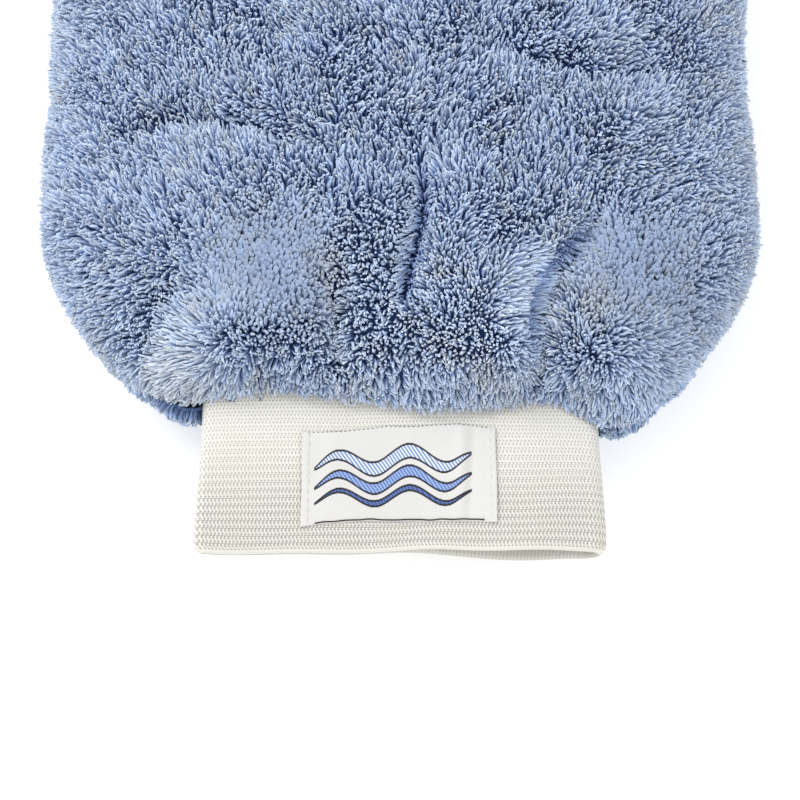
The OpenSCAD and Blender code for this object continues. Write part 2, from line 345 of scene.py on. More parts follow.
class Look:
    """One procedural material."""

    def __init__(self, name, roughness=0.8, specular=0.3, sheen=0.0, sheen_rough=0.5):
        self.mat = bpy.data.materials.new(name)
        self.mat.use_nodes = True
        self.tree = self.mat.node_tree
        self.shader = self.tree.nodes["Principled BSDF"]
        self.shader.inputs["Roughness"].default_value = roughness
        self.shader.inputs["Specular IOR Level"].default_value = specular
        self.shader.inputs["Sheen Weight"].default_value = sheen
        self.shader.inputs["Sheen Roughness"].default_value = sheen_rough

    def uv(self, layer="UVMap"):
        node = self.tree.nodes.new("ShaderNodeUVMap")
        node.uv_map = layer
        parts = self.tree.nodes.new("ShaderNodeSeparateXYZ")
        self.tree.links.new(node.outputs[0], parts.inputs[0])
        return Val(self.tree, parts.outputs[0]), Val(self.tree, parts.outputs[1])

    def attribute(self, name):
        node = self.tree.nodes.new("ShaderNodeAttribute")
        node.attribute_name = name
        return Val(self.tree, node.outputs["Fac"])

    def point(self, x, y, z=0.0):
        node = self.tree.nodes.new("ShaderNodeCombineXYZ")
        for slot, v in zip(node.inputs, (x, y, z)):
            feed(self.tree, slot, v)
        return node.outputs[0]

    def noise(self, where=None, scale=100.0, detail=3.0):
        node = self.tree.nodes.new("ShaderNodeTexNoise")
        node.inputs["Scale"].default_value = scale
        node.inputs["Detail"].default_value = detail
        if where is None:
            where = self.tree.nodes.new("ShaderNodeTexCoord").outputs["Object"]
        self.tree.links.new(where, node.inputs["Vector"])
        return Val(self.tree, node.outputs["Fac"])

    def ramp(self, value, stops):
        node = self.tree.nodes.new("ShaderNodeValToRGB")
        while len(node.color_ramp.elements) < len(stops):
            node.color_ramp.elements.new(0.5)
        for element, (at, colour) in zip(node.color_ramp.elements, stops):
            element.position = at
            element.color = (*colour, 1)
        self.tree.links.new(value.socket, node.inputs[0])
        return node.outputs[0]

    def blend(self, factor, a, b, how="MIX"):
        node = self.tree.nodes.new("ShaderNodeMix")
        node.data_type = "RGBA"
        node.blend_type = how
        node.clamp_factor = True
        for slot, v in ((node.inputs[0], factor), (node.inputs[6], a), (node.inputs[7], b)):
            feed(self.tree, slot, v)
        return node.outputs[2]

    def grey(self, value):
        return self.point(value, value, value)

    def colour(self, socket):
        self.tree.links.new(socket, self.shader.inputs["Base Color"])

    def rough(self, value):
        self.tree.links.new(value.socket, self.shader.inputs["Roughness"])

    def bump(self, height, distance, strength=1.0):
        node = self.tree.nodes.new("ShaderNodeBump")
        node.inputs["Strength"].default_value = strength
        node.inputs["Distance"].default_value = distance
        self.tree.links.new(height.socket, node.inputs["Height"])
        self.tree.links.new(node.outputs[0], self.shader.inputs["Normal"])


def wear(ob, look):
    ob.data.materials.clear()
    ob.data.materials.append(look.mat)
    return ob


# Each strand has one of 8 by 8 shades, warmth by lightness, side by side across its UV.
SHADES = 8


def pile_look(name, cool, warm):
    """cool holds a strand's five colours from root to tip, warm the last three of its greyer kind. Their
    darkening towards the root is painted shade between the strands, and their paling towards the tip is a
    painted sheen on the tips, around the dye's blue in the middle.
    """
    root, low, middle, high, tip = cool
    look = Look(name, roughness=0.62, specular=0.25, sheen=0.15)
    u, v = look.uv("OFBake")
    cell = (u * float(SHADES * SHADES)).floor()
    warmth = (cell / float(SHADES)).floor() / float(SHADES - 1)
    light = (cell / float(SHADES)).fract() * (SHADES / (SHADES - 1.0))
    # Painted light: the ramp darkens to the root as shade between the strands and pales to the tip as a
    # sheen.
    base = look.ramp(v, [(0.0, root), (0.42, low), (0.70, middle), (0.88, high), (1.0, tip)])
    warmed = look.ramp(v, [(0.0, root), (0.42, low), (0.70, warm[0]), (0.88, warm[1]), (1.0, warm[2])])
    tone = look.blend(warmth, base, warmed)
    gain = light * 0.42 + 0.80
    look.colour(look.blend(1.0, tone, look.grey(gain), "MULTIPLY"))
    return look


pile_top_look = pile_look(
    "plush_pile",
    (
        (0.13, 0.215, 0.47), (0.265, 0.375, 0.635), (0.37, 0.48, 0.705),
        (0.53, 0.64, 0.825), (0.79, 0.85, 0.93),
    ),
    ((0.41, 0.46, 0.54), (0.58, 0.61, 0.63), (0.81, 0.81, 0.79)),
)
# The bottom panel's pile is a darker copy of the top's colours: painted shade for the underside.
pile_under_shaded_look = pile_look(
    "plush_pile_under_shaded",
    ((0.10, 0.17, 0.36), (0.21, 0.32, 0.57), (0.30, 0.42, 0.69), (0.45, 0.58, 0.81), (0.68, 0.77, 0.91)),
    ((0.29, 0.36, 0.48), (0.49, 0.54, 0.59), (0.73, 0.745, 0.755)),
)

# The backing's dark navy matches the strands' roots: painted shade under the pile. The weft is its own
# pattern.
ground_look = Look("plush_backing", roughness=0.95, specular=0.1)
gu, gv = ground_look.uv()
weft = gu.wave(1.1) * gv.wave(1.1)
ground_look.colour(ground_look.blend(weft * 0.5 + 0.5, (0.10, 0.175, 0.40), (0.16, 0.25, 0.50)))
ground_look.bump(weft, 0.0003)

lining_look = Look("lining_cloth", roughness=0.85, specular=0.25, sheen=0.2)
lu, lv = lining_look.uv()
cloth = (lu.wave(0.7) * lv.wave(0.7)) * 0.5 + 0.5
mottle = lining_look.noise(scale=60, detail=4)
lining_look.colour(lining_look.blend(cloth * 0.6 + mottle * 0.4, (0.36, 0.40, 0.46), (0.62, 0.65, 0.69)))
lining_look.bump(cloth, 0.0002, 0.8)
lining_look.rough(mottle * 0.2 + 0.72)

# Knitted elastic: UV runs in stitches round the cuff and in rows from the mouth.
knit_look = Look("knitted_elastic", roughness=0.8, specular=0.3, sheen=0.15)
ku, kv = knit_look.uv()
within = knit_look.attribute("side")
zig = ((kv * 0.5).fract() - 0.5).abs() * 2
phase = ku * (2 * math.pi) + zig * math.pi
strand = phase.cos()
turn = ((kv.fract() - 0.5).abs() * 2).pow(5.0)
near = kv.step(34.0, 6.0)
hole = (strand * -0.5 + 0.5).pow(2.0) * turn
pair = ((kv * 0.5 + 0.25).fract() - 0.5).abs().step(0.12, 0.0)
selvedge = kv.step(1.0, 0.75)
mottle = knit_look.noise(scale=110, detail=4)
fibre = knit_look.noise(knit_look.point(ku * 7.0, kv * 1.5, 0.0), scale=1.0, detail=2)
# Painted shade: the knit is darkened in its holes, between its strands and along the grooves between pairs
# of rows, more strongly near the mouth. The fibre noise is the yarn's own tone.
painted_knit_shade = hole * 1.25 + (strand * -0.5 + 0.5) * (near * 0.34 + 0.17) + pair * (near * 0.55 + 0.2)
dark = (painted_knit_shade + (fibre - 0.5) * 0.3) * (1 - selvedge)
outside = knit_look.blend(dark, (0.89, 0.875, 0.815), (0.34, 0.333, 0.308))
outside = knit_look.blend((mottle - 0.5) * 0.5 + 0.15, outside, (0.72, 0.70, 0.62))
outside = knit_look.blend(selvedge, outside, (0.79, 0.77, 0.69))
rib = (ku.wave(1.0) * 0.5 + 0.5) * 0.7 + fibre * 0.3
inside = knit_look.blend(rib, (0.60, 0.59, 0.54), (0.80, 0.785, 0.73))
knit_look.colour(knit_look.blend(within, outside, inside))
height = strand * 0.5 * (near * 0.6 + 0.4) - hole * 0.8 + (fibre - 0.5) * 0.5
height = height * (1 - selvedge) * (1 - within) + within * rib
knit_look.bump(height, 0.00022, 0.9)
knit_look.rough(mottle * 0.2 + 0.7)

rubber_look = Look("strand_rubber", roughness=0.6, specular=0.4)
grain = rubber_look.noise(scale=300, detail=3)
rubber_look.colour(rubber_look.blend(grain, (0.42, 0.33, 0.20), (0.55, 0.46, 0.30)))
rubber_look.bump(grain, 0.0001)


def thread_look(name, dark, pale):
    look = Look(name, roughness=0.7, specular=0.35, sheen=0.2)
    ply = look.noise(scale=900, detail=2)
    look.colour(look.blend(ply, dark, pale))
    look.bump(ply, 0.00008)
    return look


white_thread = thread_look("white_thread", (0.62, 0.61, 0.58), (0.86, 0.85, 0.82))
blue_thread = thread_look("blue_thread", (0.05, 0.10, 0.30), (0.12, 0.20, 0.46))
dark_thread = thread_look("dark_thread", (0.006, 0.006, 0.008), (0.03, 0.03, 0.04))

# Woven label: UV in millimetres from its middle, x across and y away from the mouth.
label_look = Look("label_satin", roughness=0.42, specular=0.45, sheen=0.1)
x, y = label_look.uv()
float_x = (x * (2 * math.pi / 0.34) + y * (2 * math.pi / 1.3)).sin() * 0.5 + 0.5
float_y = y.wave(0.42) * 0.5 + 0.5
mottle = label_look.noise(scale=45, detail=3)
ground = label_look.blend(float_x * 0.35 + mottle * 0.5, (0.665, 0.66, 0.645), (0.795, 0.785, 0.765))
reach = 1.0 - ((x + 1.8) / 20.0).pow(2.0)
hatch = (x * 1.1 + y * 0.7).wave(1.0) * 0.5 + 0.5
stair = ((y * (1 / 0.3)).floor() * 0.3 - y) * 0.5


def wave_band(look, under, centre, swing, half, fill_a, fill_b):
    """A hatched wave woven into the label. half is half its thickness at the middle."""
    middle = (x + 2.0).wave(18.0) * swing + centre
    away = (y - middle + stair).abs() - reach.max(0.0).pow(0.6) * half
    live = reach.step(0.0, 0.02)
    fill = look.blend(hatch.step(0.35, 0.65), fill_a, fill_b)
    body = look.blend(away.step(0.06, -0.06) * live, under, fill)
    edge = (away.abs() - 0.30).step(0.08, -0.08) * live
    return look.blend(edge, body, (0.008, 0.009, 0.022))


picture = wave_band(label_look, ground, 3.6, 2.3, 1.9, (0.80, 0.84, 0.92), (0.16, 0.27, 0.58))
picture = wave_band(label_look, picture, -1.7, 2.3, 1.5, (0.10, 0.19, 0.50), (0.34, 0.46, 0.74))
picture = wave_band(label_look, picture, -6.0, 2.1, 0.75, (0.04, 0.08, 0.25), (0.10, 0.19, 0.48))
label_look.colour(picture)
label_look.bump(float_x * 0.6 + float_y * 0.4, 0.00006, 0.8)
label_look.rough(float_x * 0.15 + 0.36)


# ---------------------------------------------------------------- cuff
def cuff_half(d):
    """Half the cuff's width at a depth d from the mouth."""
    return mix(BAND_HALF - 0.3, BAND_HALF - 1.9, ease(d / 38)) - THICK / 2 - 0.8 * ease((3.5 - d) / 3.5) ** 2


def cuff_faces(x, d):
    """Mid-line heights of the upper and the lower ply at x, at a depth d from the mouth."""
    # The mouth is shut on the left and stands open on the right; the sewn end is an even oval.
    w = cuff_half(d)
    open_here = ease((x + 6) / 34) * (1 - 0.25 * ease((x - 30) / 20))
    open_here = open_here * (1 + 0.12 * np.sin(x * 0.21 + 0.6))
    ripple = 0.35 * noise(x, d, 16, 5) * ease((40 - d) / 30)
    up0 = 0.93 + 5.0 * open_here + ripple + 0.2
    down0 = -0.93 - 8.6 * open_here + 0.3 * noise(x, d, 19, 6)
    bulge = np.sqrt(np.maximum(1 - (x / w) ** 2, 0))
    up1 = 1.2 + 4.6 * bulge
    down1 = -1.2 - 4.6 * bulge
    b = ease(d / 44)
    fold = np.where(x < 0, 1.3, mix(4.2, 2.5, b))
    t = np.clip((np.abs(x) - (w - fold)) / fold, 0, 1)
    close = np.sqrt(1 - t * t)
    return mix(up0, up1, b) * close, mix(down0, down1, b) * close


def from_cuff(x, d, n):
    """A point given across, into and out of the cuff, in the CAD's frame."""
    x, d, n = np.broadcast_arrays(x, d, n)
    return MOUTH + np.stack([x, 0 * x, 0 * x], -1) + d[..., None] * INTO + n[..., None] * LIFT


def edge_wave(x):
    """How far the mouth's edge strays from straight."""
    return 0.35 * np.sin(x * 0.085 + 1.1) + 0.22 * np.sin(x * 0.19 + 0.4)


STITCH, ROW = 0.93, 0.96   # of the knitted elastic


def cuff_loop(d, count):
    """x, height and outward normal of the mid-line at evenly spaced places round it."""
    t = np.linspace(0, 1, 1201)
    w = cuff_half(np.full_like(t, d))
    x = -w * np.cos(math.pi * t)
    up, down = cuff_faces(x, np.full_like(t, d))
    px = np.concatenate([x, x[::-1][1:]])
    pz = np.concatenate([up, down[::-1][1:]])
    run = np.concatenate([[0], np.cumsum(np.hypot(np.diff(px), np.diff(pz)))])
    s = np.arange(count) / count * run[-1]
    x, z = np.interp(s, run, px), np.interp(s, run, pz)
    tx, tz = np.roll(x, -1) - np.roll(x, 1), np.roll(z, -1) - np.roll(z, 1)
    n = np.hypot(tx, tz)
    return x, z, -tz / n, tx / n, run[-1]


def build_cuff():
    """The elastic band: one closed loop of cloth, with its knitted rows and stitches in relief."""
    girth = cuff_loop(20.0, 800)[4]
    stitches = int(round(girth / STITCH))
    cols = stitches * 4
    depth = np.concatenate([np.arange(0, 39.5, ROW / 2), np.linspace(40.5, BAND_DEPTH, 9)])
    if (len(depth) - 1) % 2:
        depth = depth[:-1]
        depth[-1] = BAND_DEPTH
    outer, inner, coords = [], [], []
    turn = np.arange(cols) / 4.0
    for d in depth:
        x, z, nx, nz, _ = cuff_loop(d, cols)
        row = d / ROW + 0.36 * noise(x, z * 0 + d, 15, 13) * ease((d - 1.5) / 4) * ease((44 - d) / 6)
        zig = np.abs((row * 0.5) % 1 - 0.5) * 2
        strand = np.cos(2 * math.pi * turn + math.pi * zig)
        at_turn = (np.abs((row % 1) - 0.5) * 2) ** 4
        relief = strand * mix(0.045, 0.085, ease((34 - d) / 28)) - 0.03 * at_turn
        if d < 1.1:
            relief = 0 * relief + 0.10
        fade = ease((41 - d) / 3)
        lip = 0.55 * ease((0.7 - d) / 0.7) ** 2
        half = THICK / 2 - lip
        stray = edge_wave(x) * ease((12 - d) / 12)
        grow = half + relief * fade
        outer.append(from_cuff(x + nx * grow, d + stray, z + nz * grow))
        inner.append(from_cuff(x - nx * half, d + stray, z - nz * half))
        coords.append(np.stack([turn, row], -1))
    outer, inner, coords = np.array(outer), np.array(inner), np.array(coords)
    ob = slab("cuff_elastic", outer, inner, coords, wrap=True, step=(2, 4), period=stitches)
    return wear(ob, knit_look)


cuff = build_cuff()


def cuff_top(x, d, lift=0.0):
    """A place on the cuff's upper face."""
    up, _ = cuff_faces(x, d)
    return from_cuff(x, d, up + THICK / 2 + lift)


def cuff_under(x, d, lift=0.0):
    """A place on the cuff's under face."""
    _, down = cuff_faces(x, d)
    return from_cuff(x, d, down - THICK / 2 - lift)


def build_strands():
    """The twelve square rubber strands that run round inside the elastic."""
    verts, faces, n = [], [], 0
    corners = ((1, 1), (1, -1), (-1, -1), (-1, 1))
    for i in range(12):
        d = (i + 1) * BAND_DEPTH / 13
        x, z, _, _, _ = cuff_loop(d, 240)
        p = from_cuff(x, np.full_like(x, d), z)
        out = unit(np.cross(unit(np.roll(p, -1, 0) - np.roll(p, 1, 0)), INTO))
        ring = np.stack([p + 0.3 * a * out + 0.3 * b * INTO for a, b in corners], 1)
        verts.append(ring.reshape(-1, 3))
        faces.append(n + quads(len(p) + 1, 4, True) % (len(p) * 4))
        n += len(p) * 4
    verts = np.concatenate(verts)
    faces = facing_out(verts, [np.concatenate(faces)])
    return wear(make_mesh("rubber_strands", verts, faces, smooth=False), rubber_look)


strands = build_strands()


# ---------------------------------------------------------------- label
# The label's two long edges, which its stitches pull out of line: places across, and depths from the mouth.
LABEL_FAR = (
    [-25, -14.6, -8, -2.8, 4.1, 9, 14.6, 20, 24.6],
    [30.2, 30.3, 31.0, 31.7, 31.5, 31.9, 32.2, 31.5, 30.9],
)
LABEL_NEAR = (
    [-25.2, -23.5, -21.8, -15, -8.7, 5, 19, 24.6],
    [6.2, 6.5, 6.8, 7.4, 7.7, 7.4, 7.1, 6.7],
)
LABEL_THICK = 0.34


def label_place(a, b):
    """x and depth of the label at a across and b away from the mouth, both 0 to 1."""
    x = mix(mix(-25.1, -24.7, b), mix(24.5, 24.2, b), a)
    near = np.interp(x, *LABEL_NEAR)
    far = np.interp(x, *LABEL_FAR)
    return x, mix(near, far, b)


def label_lift(a, b):
    """How far the label's under face stands off the cuff, with its sewn ends, creases and puff."""
    x = mix(-25, 24.5, a)
    ends = ease((1.9 - (x + 25)) / 0.25) + ease((x - 22.4) / 0.25)
    crease = -0.30 * bell((x - 18.3 - 1.5 * (b - 0.5)) / 1.1)
    crease = crease + 0.55 * bell((x - 15.4 - 1.0 * (b - 0.5)) / 1.7)
    crease = crease + 0.35 * bell((x + 19.0 - 2.0 * b) / 2.2) * b
    crease = crease + 0.4 * bell((x - 5.0 + 3.0 * b) / 2.6) * b**2
    puff = 0.30 * np.sin(math.pi * a) ** 0.5 * np.sin(math.pi * b) ** 0.5
    rim = ease((0.06 - b) / 0.06) * 0.1 + ease((b - 0.95) / 0.05) * 0.12
    crease = 1.5 * crease * np.sin(math.pi * b) ** 0.3
    return 0.16 + 0.22 * ends + crease + puff + 0.14 * noise(x, b * 25, 7, 9) - rim


def build_label():
    """The woven label, which lies on the cuff's upper face."""
    a = np.linspace(0, 1, 165)
    b = np.linspace(0, 1, 87)
    aa, bb = np.meshgrid(a, b)
    x, d = label_place(aa, bb)
    x = x + 0.12 * noise(x * 0, d, 4, 3) * (np.abs(aa - 0.5) * 2) ** 8
    lift = label_lift(aa, bb)
    top = cuff_top(x, d, lift + LABEL_THICK)
    bottom = cuff_top(x, d, lift)
    coords = np.stack([x, (bb - 0.5) * 25.5], -1)
    return wear(slab("woven_label_cloth", top, bottom, coords), label_look)


label = build_label()


def on_label(a, b, rise):
    """A place on the label's upper face, or rise above it."""
    x, d = label_place(a, b)
    return cuff_top(x, d, label_lift(a, b) + LABEL_THICK + rise)


def build_label_threads():
    """Stitches at the label's two ends, a row along its far edge and a dark thread along its near one."""
    ends = []
    for a in (0.033, 0.968):
        for i in range(10):
            b = 0.055 + i * 0.0985 + np.linspace(0, 0.052, 5)
            lift = np.array([-0.12, 0.06, 0.1, 0.06, -0.12])
            ends.append(on_label(np.full(5, a) + 0.0015 * np.sin(i * 1.7), b, lift))
    far = []
    for i in range(40):
        a = 0.03 + i * 0.0235 + np.linspace(0, 0.0095, 4)
        far.append(on_label(a, np.full(4, 0.992), np.array([-0.05, 0.04, 0.04, -0.05])))
    a = np.linspace(0.075, 0.93, 90)
    wander = 0.020 + 0.006 * noise(a * 50, a * 0, 3, 4)
    low = [on_label(a, wander, 0.05 + 0.05 * noise(a * 50, a * 0 + 7, 1.4, 8))]
    tail_a = np.array([0.93, 0.945, 0.953, 0.957])
    low.append(on_label(tail_a, np.array([0.02, 0.012, -0.004, -0.02]), np.array([0.05, 0.05, 0.0, -0.1])))
    return (
        wear(tubes("label_end_threads", ends, 0.13), white_thread),
        wear(tubes("label_far_threads", far, 0.085, 6), dark_thread),
        wear(tubes("label_edge_black_thread", low, 0.19, 6), dark_thread),
    )


end_threads, far_threads, edge_thread = build_label_threads()

# ---------------------------------------------------------------- lap and its zigzag, on the underside
LAP_X = (-27.0, -15.0)


def build_lap():
    """The band's end, laid over its start and sewn down with two rows of zigzag."""
    xs = np.linspace(LAP_X[0], LAP_X[1], 53)
    ds = np.linspace(1.0, 37.0, 76)
    xx, dd = np.meshgrid(xs, ds)
    row = dd / ROW
    relief = 0.05 * np.cos(2 * math.pi * xx / STITCH + math.pi * np.abs((row * 0.5) % 1 - 0.5) * 2)
    edge = np.minimum(xx - LAP_X[0], LAP_X[1] - xx)
    thick = 1.15 * ease((edge + 0.4) / 0.8) + relief
    top = cuff_under(xx, dd, thick)
    base = cuff_under(xx, dd, 0.05)
    coords = np.stack([xx / STITCH, row], -1)
    ob = wear(slab("cuff_lap", top, base, coords, step=(3, 4)), knit_look)
    zig = []
    for share in (0.2, 0.8):
        x0 = mix(LAP_X[0], LAP_X[1], share)
        for i in range(14):
            d = 3 + i * 2.4
            way = 1 if i % 2 else -1
            s = np.linspace(-1, 1, 5)
            zig.append(cuff_under(x0 + s * way * 0.75, d + s * 1.2, 1.15 + 0.16 - 0.2 * s**4))
    return ob, wear(tubes("cuff_lap_stitches", zig, 0.2), white_thread)


lap, lap_threads = build_lap()


def build_cuff_seam():
    """Stitches that join cuff, panels and lining."""
    d = BAND_DEPTH - 5.0
    x, z, nx, nz, run = cuff_loop(d, 1200)
    count = int(run / 4.4)
    paths = []
    for i in range(count):
        k = (int(i * 1200 / count) + np.arange(0, 17, 4)) % 1200
        rise = THICK / 2 + np.array([-0.1, 0.2, 0.25, 0.2, -0.1])
        paths.append(from_cuff(x[k] + nx[k] * rise, np.full(5, d), z[k] + nz[k] * rise))
    return wear(tubes("cuff_seam_stitches", paths, 0.22), white_thread)


cuff_seam = build_cuff_seam()

# ---------------------------------------------------------------- plush ground
PILE = 6.4                    # length of a strand
BASE = 5.0                    # thickness of the backing with its padding
GROUND_Y0 = NECK_Y + 2.6      # the backing's ends, half width and half height
GROUND_END = END_Y - 6.4
GROUND_W = HALF_W - 5.4
GROUND_H = 20.6
TIP = 76.0                    # over how much of its length the closed end rounds off
# Where the pile's edge lies on the cuff: x across, and how far it strays from straight.
EDGE = np.array([
    (-60, -1.1), (-50, 0.4), (-41, 1.2), (-34, 3.0), (-26, 0.2), (-13, -1.4),
    (0, -3.4), (8, -4.6), (22, -3.7), (38, -1.4), (45, -2.8), (52, -6.0), (60, -7.4),
])
# Lines where the pile parts, where the panel folds over, and where it dips beside the left hump.
PART = [(0.8, -72), (1.8, -66), (3.7, -58), (5.7, -49), (6.2, -40), (4.0, -28), (-1.0, -14)]
FOLD = [(53, -38), (48, -48), (43.5, -56), (37.5, -63), (34.6, -69), (33.6, -75), (33.0, -86)]
DIP = [(-16.0, -63), (-16.8, -71), (-16.8, -80), (-15.0, -85)]
# Soft valleys: the line, depth, half width, and the shares over which its start and end fade.
VALLEYS = (
    (DIP, 3.6, 2.6, 0.3, 0.2),
    ([(-78, -26), (-56, -20), (-36, -22), (-20, -30)], 3.6, 5.0, 0.3, 0.3),
    ([(16, 6), (34, -4), (58, -8), (80, -4)], 3.2, 5.5, 0.3, 0.3),
    ([(-50, 34), (-28, 26), (-6, 30), (12, 42)], 3.0, 6.0, 0.3, 0.3),
    ([(30, 84), (40, 62), (56, 44)], 2.6, 6.0, 0.3, 0.3),
)
# Humps: height, place and size.
HUMPS = ((3.2, (-39, -76), (14, 10)), (3.0, (56, -77), (12, 9)), (1.5, (17, -68), (15, 18)))
# Where the pile fans out: x, y, distance to full lean, reach, lean, main direction in degrees.
FANS = [(-43.0, -80.0, 9.0, 22.0, 1.5, 212.0), (54.0, -82.0, 12.0, 24.0, 0.7, 300.0)]
# Places and sizes of patches: brushed smooth, standing upright, even, and ruffled.
SOFT = (((-33, -60), (16, 14)), ((61, -60), (14, 14)))
FLAT = ((17, -72), (13, 16))
EVEN = ((-7, -66), (13, 20))
RUFFLED = ((-29, -83), (9, 7))
# Greyer patches: x, y and size.
GREY = (
    (-18, -62, 6), (-17, -72, 5), (40, -64, 5), (48, -70, 6),
    (-56, -88, 8), (26, -88, 6), (-36, -91, 3), (4, -93, 3),
)


def folds(x, y):
    """Height of the top panel's humps and valleys over its smooth form."""
    h = sum(height * mound(x, y, place, size) for height, place, size in HUMPS)
    s, run = to_line(x, y, PART)
    h -= 4.2 * bell(s / 2.6) * ease(run / 0.12) * ease((1 - run) / 0.5)
    s, run = to_line(x, y, FOLD)
    steep = bell(np.where(s > 0, s / 1.6, s / 4.2))
    h -= 6.0 * steep * ease(run / 0.35) * (1 - 0.35 * ease((run - 0.75) / 0.25))
    h += 1.6 * bell((s - 6) / 4) * ease(run / 0.4)
    for line, depth, wide, start, end in VALLEYS:
        s, run = to_line(x, y, line)
        h -= depth * bell(s / wide) * ease(run / start) * ease((1 - run) / end)
    return h + 1.1 * noise(x, y, 26, 21) + 0.5 * noise(x, y, 11, 22)


def closing(at, length, tip, power):
    """1 along the body, and down to 0 over the rounded closed end."""
    t = np.clip((at - length + tip) / tip, 0, 1)
    return (1 - t**power) ** (1 / power)


def body_form(y0, y1, w0, w1, h0, h1, flare, rise, tip, rows, cols, top):
    """Half of a pillow from y0 to y1, as a grid from its left seam over to its right seam.

    Half width and half height grow from w0 and h0 at the neck to w1 and h1, over the distances flare and
    rise. The closed end rounds off over the distance tip.
    """
    length = y1 - y0
    near = np.concatenate([np.linspace(0, 1, 26)[:-1] ** 1.3 * 24, np.linspace(24, length - tip, rows)[:-1]])
    round_end = length - tip + tip * np.sin(np.linspace(0, math.pi / 2, 40)) ** (2 / 2.3)
    at = np.concatenate([near, round_end])
    theta = np.linspace(math.pi, 0, cols)
    c, s = np.cos(theta), np.sin(theta)
    power = mix(1.0, 0.82, ease(at / flare))[:, None]
    across = np.sign(c) * np.abs(c)[None, :] ** power
    up = np.abs(s)[None, :] ** power
    wide = closing(at, length, tip, 2.3) * mix(w0, w1, shoulder(at / flare))
    high = closing(at, length, tip, 2.8) * mix(h0, h1, shoulder(at / rise))
    x = wide[:, None] * across
    z = MID + (1 if top else -1) * high[:, None] * up
    y = np.broadcast_to((y0 + at)[:, None], x.shape)
    return np.stack([x, y, z], -1), at


def smooth_turn(p):
    """Distance across each row from its middle, which is the UV and the noise's place."""
    step = np.linalg.norm(np.diff(p, axis=1), axis=-1)
    run = np.concatenate([np.zeros((len(p), 1)), np.cumsum(step, 1)], 1)
    return run - run[:, -1:] / 2


def smooth_normals(n):
    for _ in range(2):
        m = n.copy()
        m[1:-1] += n[:-2] + n[2:]
        m[:, 1:-1] += n[:, :-2] + n[:, 2:]
        n = unit(m)
    return n


def panel_normals(p, top):
    """Normals that look out of a panel, and straight out of its closed end."""
    n = grid_normals(p)
    if (n[40, 40, 2] > 0) != top:
        n = -n
    n[-1] = (0, 1, 0)
    return n


def build_ground(top):
    """One panel's backing, and the sheet where its strands' tips come, which carries their roots."""
    rise = 46.0 if top else 16.0
    p, at = body_form(GROUND_Y0, GROUND_END, 53.0, GROUND_W, 7.4, GROUND_H, 47.0, rise, TIP, 60, 141, top)
    n = panel_normals(p, top)
    x, y = p[..., 0], p[..., 1]
    lift = folds(x, y) if top else 1.2 * noise(x, y, 30, 31)
    seam = ease(np.abs(p[..., 2] - MID) / 6)
    neck = ease(at / 7)[:, None]
    p = p + n * (lift * seam * neck)[..., None]
    # The pile's edge on the cuff, the two front corners, and a gentle wander of the sides.
    x, y, z = p[..., 0], p[..., 1], p[..., 2]
    shift = np.interp(x, *EDGE.T)
    fade = ease((20 - at) / 20)[:, None]
    y += np.where(top, shift * 0.9, shift * 0.3) * fade * ease(np.abs(z - MID) / 4)
    right = bell((x - 57) / 11) * (3.0 if top else 7.6)
    left = bell((x + 56) / 9) * (1.2 if top else 5.4)
    y -= (right + left) * ease((30 - at) / 30)[:, None]
    wander = noise(y, x * 0 + np.sign(x) * 50, 24, 41) * 1.3 * ease(at / 30)[:, None]
    x += wander * np.sign(x) * (np.abs(x) / GROUND_W) ** 2
    if not top:
        p[..., 2] = np.maximum(z, 5.2)
    n = smooth_normals(panel_normals(p, top))
    s = smooth_turn(p)
    place = np.stack([s, np.broadcast_to(at[:, None], s.shape)], -1)
    name = "top_plush_backing" if top else "bottom_plush_backing"
    thick = mix(0.9, BASE, ease((at - 6) / 16))[:, None, None]
    ob = slab(name, p, p - n * thick, place)
    wear(ob, ground_look)
    # The pile is spread evenly over where its tips come, not over the backing, so that no hump looks bald.
    c = combing(p, n, place, top, False)
    tips = p + PILE * mix(n, unit(n + c), 0.8)
    outer = make_mesh(
        "scatter_" + name, tips.reshape(-1, 3), [quads(*p.shape[:2], False)],
        attributes={
            "root": p.reshape(-1, 3), "away": n.reshape(-1, 3),
            "place": np.concatenate([place, 0 * place[..., :1]], -1).reshape(-1, 3),
        },
    )
    return ob, outer, p


def scatter(ob, spacing, seed):
    """Evenly spread places over a mesh, with its smooth normal and its surface coordinates."""
    group = bpy.data.node_groups.new("scatter", "GeometryNodeTree")
    group.interface.new_socket("Geometry", in_out="INPUT", socket_type="NodeSocketGeometry")
    group.interface.new_socket("Geometry", in_out="OUTPUT", socket_type="NodeSocketGeometry")
    enter, leave = group.nodes.new("NodeGroupInput"), group.nodes.new("NodeGroupOutput")
    spread = group.nodes.new("GeometryNodeDistributePointsOnFaces")
    spread.distribute_method = "POISSON"
    spread.inputs["Distance Min"].default_value = spacing * MM
    spread.inputs["Density Max"].default_value = 3.2 / (spacing * MM) ** 2
    spread.inputs["Seed"].default_value = seed
    points = group.nodes.new("GeometryNodePointsToVertices")
    group.links.new(enter.outputs[0], spread.inputs["Mesh"])
    group.links.new(spread.outputs["Points"], points.inputs[0])
    group.links.new(points.outputs[0], leave.inputs[0])
    modifier = ob.modifiers.new("scatter", "NODES")
    modifier.node_group = group
    made = ob.evaluated_get(bpy.context.evaluated_depsgraph_get())
    mesh = made.to_mesh()
    count = len(mesh.vertices)
    root, away, place = (np.zeros(count * 3, np.float32) for _ in range(3))
    mesh.attributes["root"].data.foreach_get("vector", root)
    mesh.attributes["away"].data.foreach_get("vector", away)
    mesh.attributes["place"].data.foreach_get("vector", place)
    made.to_mesh_clear()
    shape = ob.data
    bpy.data.objects.remove(ob)
    bpy.data.meshes.remove(shape)
    bpy.data.node_groups.remove(group)
    reshape = lambda a: a.reshape(-1, 3).astype(float)
    return reshape(root), unit(reshape(away)), reshape(place)


